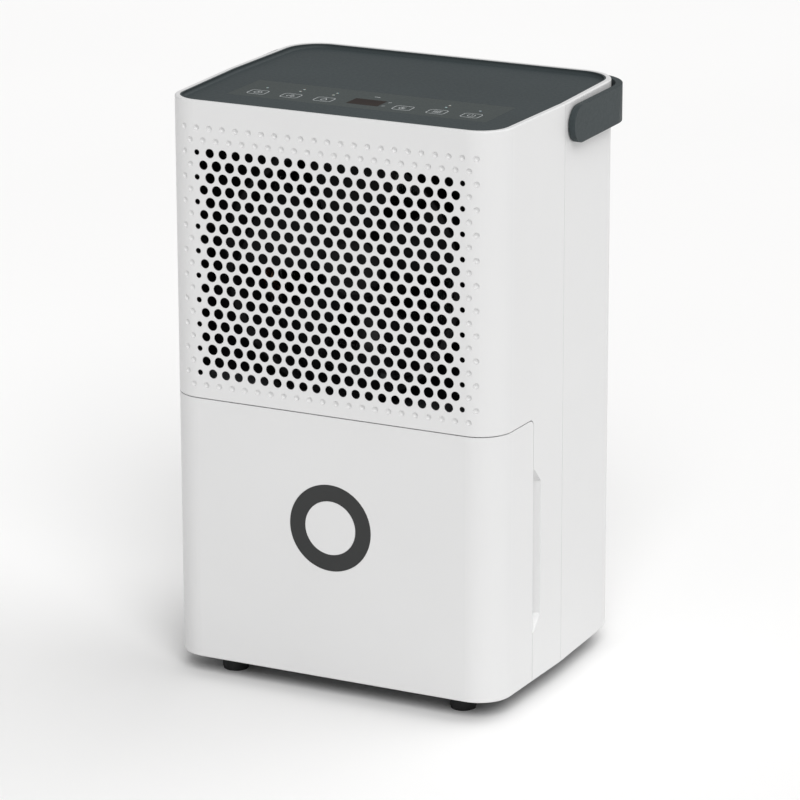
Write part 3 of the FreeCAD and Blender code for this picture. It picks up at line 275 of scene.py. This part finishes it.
def tank_plastic():
    """Natural polypropylene: cloudy, a little see-through, with flow lines from moulding."""
    made = moulded("tank_plastic", (0.72, 0.75, 0.78), 0.34, 0.006, 0.00001, 0.03, Transmission_Weight=0.15,
                   IOR=1.49)
    return made.bump(made.noise(0.03, 2.0, (1, 1, 0.25)), 0.0003, 0.25).material


def metal(name, colour, rough, streak, variation=0.08, **sockets):
    """Bare metal with fine drawn streaks."""
    made = Finish(name, Metallic=1.0, **sockets)
    stops = ((0.3, shade(colour, 1 - variation)), (0.7, shade(colour, 1 + variation)))
    made.colour(made.noise(0.012, 4.0), stops)
    lines = made.noise(0.0012, 3.0, streak)
    made.roughness(lines, rough - 0.08, rough + 0.1)
    return made.bump(lines, 0.00002, 0.5)


def zinc_steel():
    return metal("zinc_steel", (0.55, 0.56, 0.58), 0.34, (1, 1, 6)).material


def fin_aluminium():
    return metal("fin_aluminium", (0.78, 0.79, 0.80), 0.32, (1, 5, 1), 0.05).material


def copper():
    """Drawn copper with patches of darker tarnish."""
    made = metal("copper", (0.80, 0.42, 0.27), 0.30, (1, 1, 4))
    patches = made.noise(0.018, 5.0)
    made.colour(patches, ((0.35, (0.42, 0.20, 0.13)), (0.5, (0.74, 0.38, 0.24)), (0.75, (0.86, 0.48, 0.32))))
    return made.material


def black_paint():
    """Sprayed black enamel with orange-peel relief."""
    made = Finish("black_paint", Coat_Weight=0.4, Coat_Roughness=0.15)
    made.colour(made.noise(0.03, 3.0), ((0.3, (0.012, 0.012, 0.013)), (0.7, (0.020, 0.020, 0.021))))
    made.roughness(made.noise(0.004, 4.0), 0.34, 0.48)
    return made.bump(made.noise(0.0022, 1.0), 0.00006, 0.6).material


def circuit_board():
    """Green solder mask with copper tracks showing through as lighter lines."""
    made = Finish("circuit_board", Coat_Weight=0.3, Coat_Roughness=0.2)
    tracks = made.cells(0.004, "DISTANCE_TO_EDGE")
    made.colour(tracks, ((0.03, (0.10, 0.30, 0.12)), (0.09, (0.015, 0.10, 0.035)),
                         (0.6, (0.012, 0.085, 0.03))))
    made.roughness(made.noise(0.003), 0.34, 0.46)
    return made.bump(tracks, 0.00004, 0.4).material


def filter_cloth():
    """Black nylon thread."""
    made = Finish("filter_cloth", Sheen_Weight=0.25, Sheen_Roughness=0.4)
    made.colour(made.noise(0.004, 3.0), ((0.3, (0.018, 0.018, 0.020)), (0.7, (0.045, 0.045, 0.050))))
    made.roughness(made.noise(0.001), 0.5, 0.68)
    return made.bump(made.noise(0.0004, 2.0), 0.00004, 0.5).material


def printed_ink():
    """Light grey screen print with slightly uneven coverage."""
    made = Finish("printed_ink", Specular_IOR_Level=0.3)
    made.colour(made.noise(0.0015, 3.0), ((0.3, (0.42, 0.44, 0.45)), (0.7, (0.56, 0.58, 0.59))))
    made.roughness(made.noise(0.0006), 0.45, 0.6)
    return made.bump(made.noise(0.0003, 2.0), 0.000008).material


def lamp_lens():
    """Unlit milky indicator lens."""
    made = Finish("lamp_lens", Subsurface_Weight=0.3, Subsurface_Scale=0.001)
    made.colour(made.noise(0.001, 2.0), ((0.3, (0.40, 0.42, 0.42)), (0.7, (0.52, 0.54, 0.54))))
    made.roughness(made.noise(0.0008), 0.25, 0.35)
    return made.material


MATERIALS = {
    maker.__name__: maker() for maker in (
        white_shell, shell_with_painted_shade, slate_plastic, overlay_film, display_lens, smoke_ring, black_plastic,
        grey_plastic, black_rubber, float_foam, tank_plastic, zinc_steel, fin_aluminium, copper,
        black_paint, circuit_board, filter_cloth, printed_ink, lamp_lens)
}


def dress_frame():
    """Every CAD node gets the finish of its material slot; the front housing then takes the white finish with
    painted shade inside its grille chamber.
    """
    for part in frame["record"]["subparts"]:
        item = NODES[part["node"]]
        item.data.materials.clear()
        item.data.materials.append(MATERIALS[part["material_slot"]])
    # white shell with painted shade on the grille chamber's inner faces
    NODES["front_housing"].data.materials[0] = MATERIALS["shell_with_painted_shade"]


# ---------------------------------------------------------------- mesh helpers

def new_piece(name, mesh, body, slot, material=None):
    """A finished bmesh becomes a piece that rides on a body."""
    data = bpy.data.meshes.new(name)
    mesh.to_mesh(data)
    mesh.free()
    item = bpy.data.objects.new(name, data)
    bpy.context.scene.collection.objects.link(item)
    data.materials.append(MATERIALS[material or slot])
    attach(item, body)
    return item


def add_block(mesh, low, high):
    """A closed box between two corners."""
    corners = [mesh.verts.new((x, y, z)) for x in (low[0], high[0]) for y in (low[1], high[1])
               for z in (low[2], high[2])]
    for face in ((0, 1, 3, 2), (4, 6, 7, 5), (0, 4, 5, 1), (2, 3, 7, 6), (0, 2, 6, 4), (1, 5, 7, 3)):
        mesh.faces.new([corners[index] for index in face])


def add_prism(mesh, points, low, high):
    """A closed prism over a flat outline given anticlockwise."""
    under = [mesh.verts.new((x, y, low)) for x, y in points]
    over = [mesh.verts.new((x, y, high)) for x, y in points]
    mesh.faces.new(over)
    mesh.faces.new(list(reversed(under)))
    count = len(points)
    for index in range(count):
        after = (index + 1) % count
        mesh.faces.new((under[index], under[after], over[after], over[index]))


def ring_points(middle, radius, start=0.0, stop=360.0, count=24):
    """Points of an arc in degrees; a full ring leaves out its last, repeated point."""
    steps = count if stop - start >= 360 else count - 1
    return [(middle[0] + radius * math.cos(math.radians(start + (stop - start) * index / steps)),
             middle[1] + radius * math.sin(math.radians(start + (stop - start) * index / steps)))
            for index in range(count)]


def add_stroke(mesh, points, width, low, high, closed=False):
    """A line of even width through flat points, as a thin closed ribbon."""
    count = len(points)
    left, right = [], []
    for index, point in enumerate(points):
        before = points[index - 1] if index or closed else None
        after = points[(index + 1) % count] if index < count - 1 or closed else None
        ways = [(Vector(b) - Vector(a)).normalized() for a, b in ((before, point), (point, after))
                if a is not None and b is not None]
        way = sum(ways, Vector((0, 0))).normalized()
        side = Vector((-way.y, way.x))
        reach = width / 2 / max(0.5, abs(side.dot(Vector((-ways[0].y, ways[0].x)))))
        left.append(Vector(point) + side * reach)
        right.append(Vector(point) - side * reach)
    layers = [[mesh.verts.new((p.x, p.y, z)) for p in line] for line in (left, right) for z in (low, high)]
    left_low, left_high, right_low, right_high = layers
    for index in range(count if closed else count - 1):
        after = (index + 1) % count
        around = (left_high, right_high, right_low, left_low)
        for a, b in zip(around, around[1:] + around[:1]):
            mesh.faces.new((a[index], b[index], b[after], a[after]))
    if not closed:
        for index in (0, count - 1):
            end = (left_low[index], left_high[index], right_high[index], right_low[index])
            mesh.faces.new(end if index == 0 else tuple(reversed(end)))


# ---------------------------------------------------------------- printed control panel

INK = 0.05 * MM                 # thickness of the print
STROKE = 0.55 * MM              # width of its lines
KEY_WIDE = 14.0 * MM
KEY_DEEP = 12.0 * MM
KEY_ROUND = 2.6 * MM
NEAR_KEY = 32.0 * MM            # middle of the innermost keys, to each side of the display
LAMP_BACK = 15.3 * MM           # first lamp behind the middle of its key
LAMP_STEP = 6.4 * MM            # second lamp behind the first
LAMP_RADIUS = 0.95 * MM


def key_places():
    """Middles of the six touch keys, read from the springs under them."""
    low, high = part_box("touch_springs")
    reach = (high.x - low.x) / 2 - (high.y - low.y) / 2
    step = (reach - NEAR_KEY) / 2
    right = [NEAR_KEY, NEAR_KEY + step, reach]
    left = [-x for x in reversed(right)]
    return [(x, (low.y + high.y) / 2) for x in left + right]


def rounded_rectangle(middle, wide, deep, radius):
    points = []
    for start, (side_x, side_y) in zip((0, 90, 180, 270), ((1, 1), (-1, 1), (-1, -1), (1, -1))):
        corner = (middle[0] + side_x * (wide / 2 - radius), middle[1] + side_y * (deep / 2 - radius))
        points += ring_points(corner, radius, start, start + 90, 6)
    return points


def timer_symbol(line, disc, middle):
    x, y = middle
    line(ring_points(middle, 3.0 * MM), True)
    line([(x, y + 2.0 * MM), (x, y), (x + 1.5 * MM, y)])


def fan_symbol(line, disc, middle):
    disc(middle, 0.7 * MM)
    for turn in (90, 210, 330):
        aim = math.radians(turn)
        hub = (middle[0] + 1.9 * MM * math.cos(aim), middle[1] + 1.9 * MM * math.sin(aim))
        line(ring_points(hub, 1.35 * MM, turn - 200, turn + 60, 12))


def drop_symbol(line, disc, middle):
    x, y = middle
    bowl = ring_points((x, y - 1.0 * MM), 2.1 * MM, 150, 390, 14)
    line([(x, y + 3.4 * MM)] + bowl, True)


def moon_symbol(line, disc, middle):
    x, y = middle
    outer = ring_points(middle, 3.0 * MM, 60, 330, 16)
    inner = ring_points((x + 1.5 * MM, y + 0.6 * MM), 2.4 * MM, 285, 80, 12)
    line(outer + inner[1:-1], True)


def mode_symbol(line, disc, middle):
    x, y = middle
    for lift in (-2.2, 0.0, 2.2):
        level = y + lift * MM
        line([(x + step * 1.1 * MM, level + (0.5 * MM if step % 2 else -0.5 * MM)) for step in range(-3, 4)])


def power_symbol(line, disc, middle):
    x, y = middle
    line(ring_points(middle, 2.9 * MM, 125, 415, 20))
    line([(x, y + 3.6 * MM), (x, y + 0.4 * MM)])


def printed_panel():
    """Outlined keys with generic symbols, and two tags and a short bar by the display."""
    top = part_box("control_overlay")[1].z
    mesh = bmesh.new()

    def line(points, closed=False, width=STROKE):
        add_stroke(mesh, points, width, top, top + INK, closed)

    def disc(middle, radius):
        add_prism(mesh, ring_points(middle, radius, count=16), top, top + INK)

    symbols = (timer_symbol, fan_symbol, drop_symbol, moon_symbol, mode_symbol, power_symbol)
    for place, symbol in zip(key_places(), symbols):
        line(rounded_rectangle(place, KEY_WIDE, KEY_DEEP, KEY_ROUND), True)
        symbol(line, disc, place)
    low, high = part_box("display_window")
    for y in (low.y + 3 * MM, high.y - 3 * MM):
        line([(high.x + 2.5 * MM, y - 0.8 * MM), (high.x + 4.5 * MM, y + 0.8 * MM)], width=0.8 * MM)
    line([(-2.2 * MM, high.y + 9 * MM), (2.2 * MM, high.y + 9 * MM)], width=0.9 * MM)
    new_piece("printed_legends", mesh, "housing", "overlay_film", "printed_ink")


def indicator_lamps():
    """Small lens dots behind each key: one over the outer keys and two over most others."""
    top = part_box("control_overlay")[1].z
    mesh = bmesh.new()
    places = key_places()
    for index, rows in ((0, 1), (1, 2), (2, 2), (4, 2), (5, 1)):
        x, y = places[index]
        for row in range(rows):
            spot = (x - 0.2 * MM, y + LAMP_BACK + LAMP_STEP * row)
            add_prism(mesh, ring_points(spot, LAMP_RADIUS, count=20), top, top + INK * 2)
    new_piece("indicator_lamps", mesh, "housing", "overlay_film", "lamp_lens")


# ---------------------------------------------------------------- woven filter and fine fins

FIN_TALL = 176.0 * MM
END_PLATE = 1.0 * MM            # thickness of the plate at each end of a fin pack


def woven_filter():
    """Two crossed layers of thread in place of the plain filter sheet."""
    low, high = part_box("filter_mesh")
    mesh = bmesh.new()
    pitch = 1.3 * MM
    thread = 0.32 * MM
    middle = (low.y + high.y) / 2
    across = int((high.x - low.x) / pitch)
    upward = int((high.z - low.z) / pitch)
    for index in range(across + 1):
        x = low.x + (high.x - low.x - thread) * index / across
        add_block(mesh, (x, middle - thread, low.z), (x + thread, middle, high.z))
    for index in range(upward + 1):
        z = low.z + (high.z - low.z - thread) * index / upward
        add_block(mesh, (low.x, middle, z), (high.x, middle + thread, z + thread))
    piece = new_piece("woven_filter", mesh, "filter", "filter_cloth")
    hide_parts("filter_mesh")


def fine_fins(node):
    """Closely spaced corrugated fins in the box of a CAD fin pack."""
    low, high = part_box(node)
    mesh = bmesh.new()
    count = 116
    thick = 0.16 * MM
    ripple = 0.35 * MM
    folds = 8
    foot = high.z - FIN_TALL
    for index in range(count):
        x = low.x + END_PLATE + (high.x - low.x - 2 * END_PLATE) * index / (count - 1)
        steps = [(low.y + (high.y - low.y) * step / folds, ripple * (step % 2)) for step in range(folds + 1)]
        near_side = [(x + shift, y) for y, shift in steps]
        far_side = [(x + shift + thick, y) for y, shift in reversed(steps)]
        add_prism(mesh, (near_side + far_side)[::-1], foot, high.z)
    for side in (low.x, high.x - END_PLATE):
        add_block(mesh, (side, low.y, low.z), (side + END_PLATE, high.y, high.z))
    piece = new_piece(f"{node}_fine", mesh, "housing", "fin_aluminium")
    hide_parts(node)


# ---------------------------------------------------------------- softened edges

def soften(node, width, angle=40.0, segments=3):
    """A small radius on a CAD node's sharp edges, by modifiers only."""
    item = NODES[node]
    weld = item.modifiers.new("weld", "WELD")
    weld.merge_threshold = 0.002 * MM
    bevel = item.modifiers.new("edge_radius", "BEVEL")
    bevel.width = width
    bevel.segments = segments
    bevel.limit_method = "ANGLE"
    bevel.angle_limit = math.radians(angle)
    bevel.harden_normals = True


# ---------------------------------------------------------------- studio

CAMERA_AZIMUTH = 26.48
CAMERA_ELEVATION = 17.0
CAMERA_ROLL = -0.154
CAMERA_LENS = 193.64
CAMERA_DISTANCE = 3.1017
CAMERA_AIM = (57.5 * MM, 17.47 * MM)    # target on the front plane, right of and above its middle
FLOOR_REACH = 30.0
FLOOR_CELLS = 24


def direction(azimuth, elevation):
    """Unit vector from the object towards a place; azimuth 0 is in front and 90 at the right."""
    turn, lift = math.radians(azimuth), math.radians(elevation)
    return Vector((math.sin(turn) * math.cos(lift), -math.cos(turn) * math.cos(lift), math.sin(lift)))


def aim_at(item, target, roll=0.0):
    item.rotation_euler = ((target - item.location).to_track_quat("-Z", "Y").to_matrix()
                           @ Matrix.Rotation(math.radians(roll), 3, "Z")).to_euler()


def camera():
    data = bpy.data.cameras.new("camera")
    data.lens = CAMERA_LENS
    data.sensor_width = 36.0
    item = bpy.data.objects.new("camera", data)
    bpy.context.scene.collection.objects.link(item)
    target = CENTRE + Vector((CAMERA_AIM[0], cad_low.y - CENTRE.y, CAMERA_AIM[1]))
    item.location = target + direction(CAMERA_AZIMUTH, CAMERA_ELEVATION) * CAMERA_DISTANCE
    aim_at(item, target, CAMERA_ROLL)
    bpy.context.scene.camera = item


def sun_light(name, azimuth, elevation, strength, spread):
    """A broad far light; spread is its angle across in degrees."""
    data = bpy.data.lights.new(name, "SUN")
    data.energy = strength
    data.angle = math.radians(spread)
    item = bpy.data.objects.new(name, data)
    bpy.context.scene.collection.objects.link(item)
    item.location = CENTRE + direction(azimuth, elevation) * 3.0
    aim_at(item, CENTRE)


def floor():
    """A wide pale sweep of floor."""
    mesh = bmesh.new()
    bmesh.ops.create_grid(mesh, x_segments=FLOOR_CELLS, y_segments=FLOOR_CELLS, size=FLOOR_REACH)
    data = bpy.data.meshes.new("floor")
    mesh.to_mesh(data)
    mesh.free()
    item = bpy.data.objects.new("floor", data)
    bpy.context.scene.collection.objects.link(item)
    item.location.z = cad_low.z
    made = Finish("studio_floor", Roughness=0.9, Specular_IOR_Level=0.1)
    made.colour(made.noise(0.8, 2.0), ((0.3, (0.925, 0.922, 0.918)), (0.7, (0.94, 0.937, 0.933))))
    made.bump(made.noise(0.004, 3.0), 0.00002, 0.3)
    data.materials.append(made.material)


def studio():
    world = bpy.data.worlds.new("studio")
    bpy.context.scene.world = world
    world.use_nodes = True
    back = world.node_tree.nodes["Background"]
    back.inputs["Color"].default_value = (1.0, 1.0, 1.0, 1.0)
    back.inputs["Strength"].default_value = 0.36
    sun_light("key_light", 33.0, 43.0, 1.80, 35.0)
    sun_light("back_light", 140.0, 50.0, 1.2, 60.0)
    bpy.context.scene.view_settings.view_transform = "Standard"


# ---------------------------------------------------------------- the scene

dress_frame()
printed_panel()
indicator_lamps()
woven_filter()
fine_fins("condenser_fins")
fine_fins("evaporator_fins")
soften("handle", 0.7 * MM)
floor()
studio()
camera()
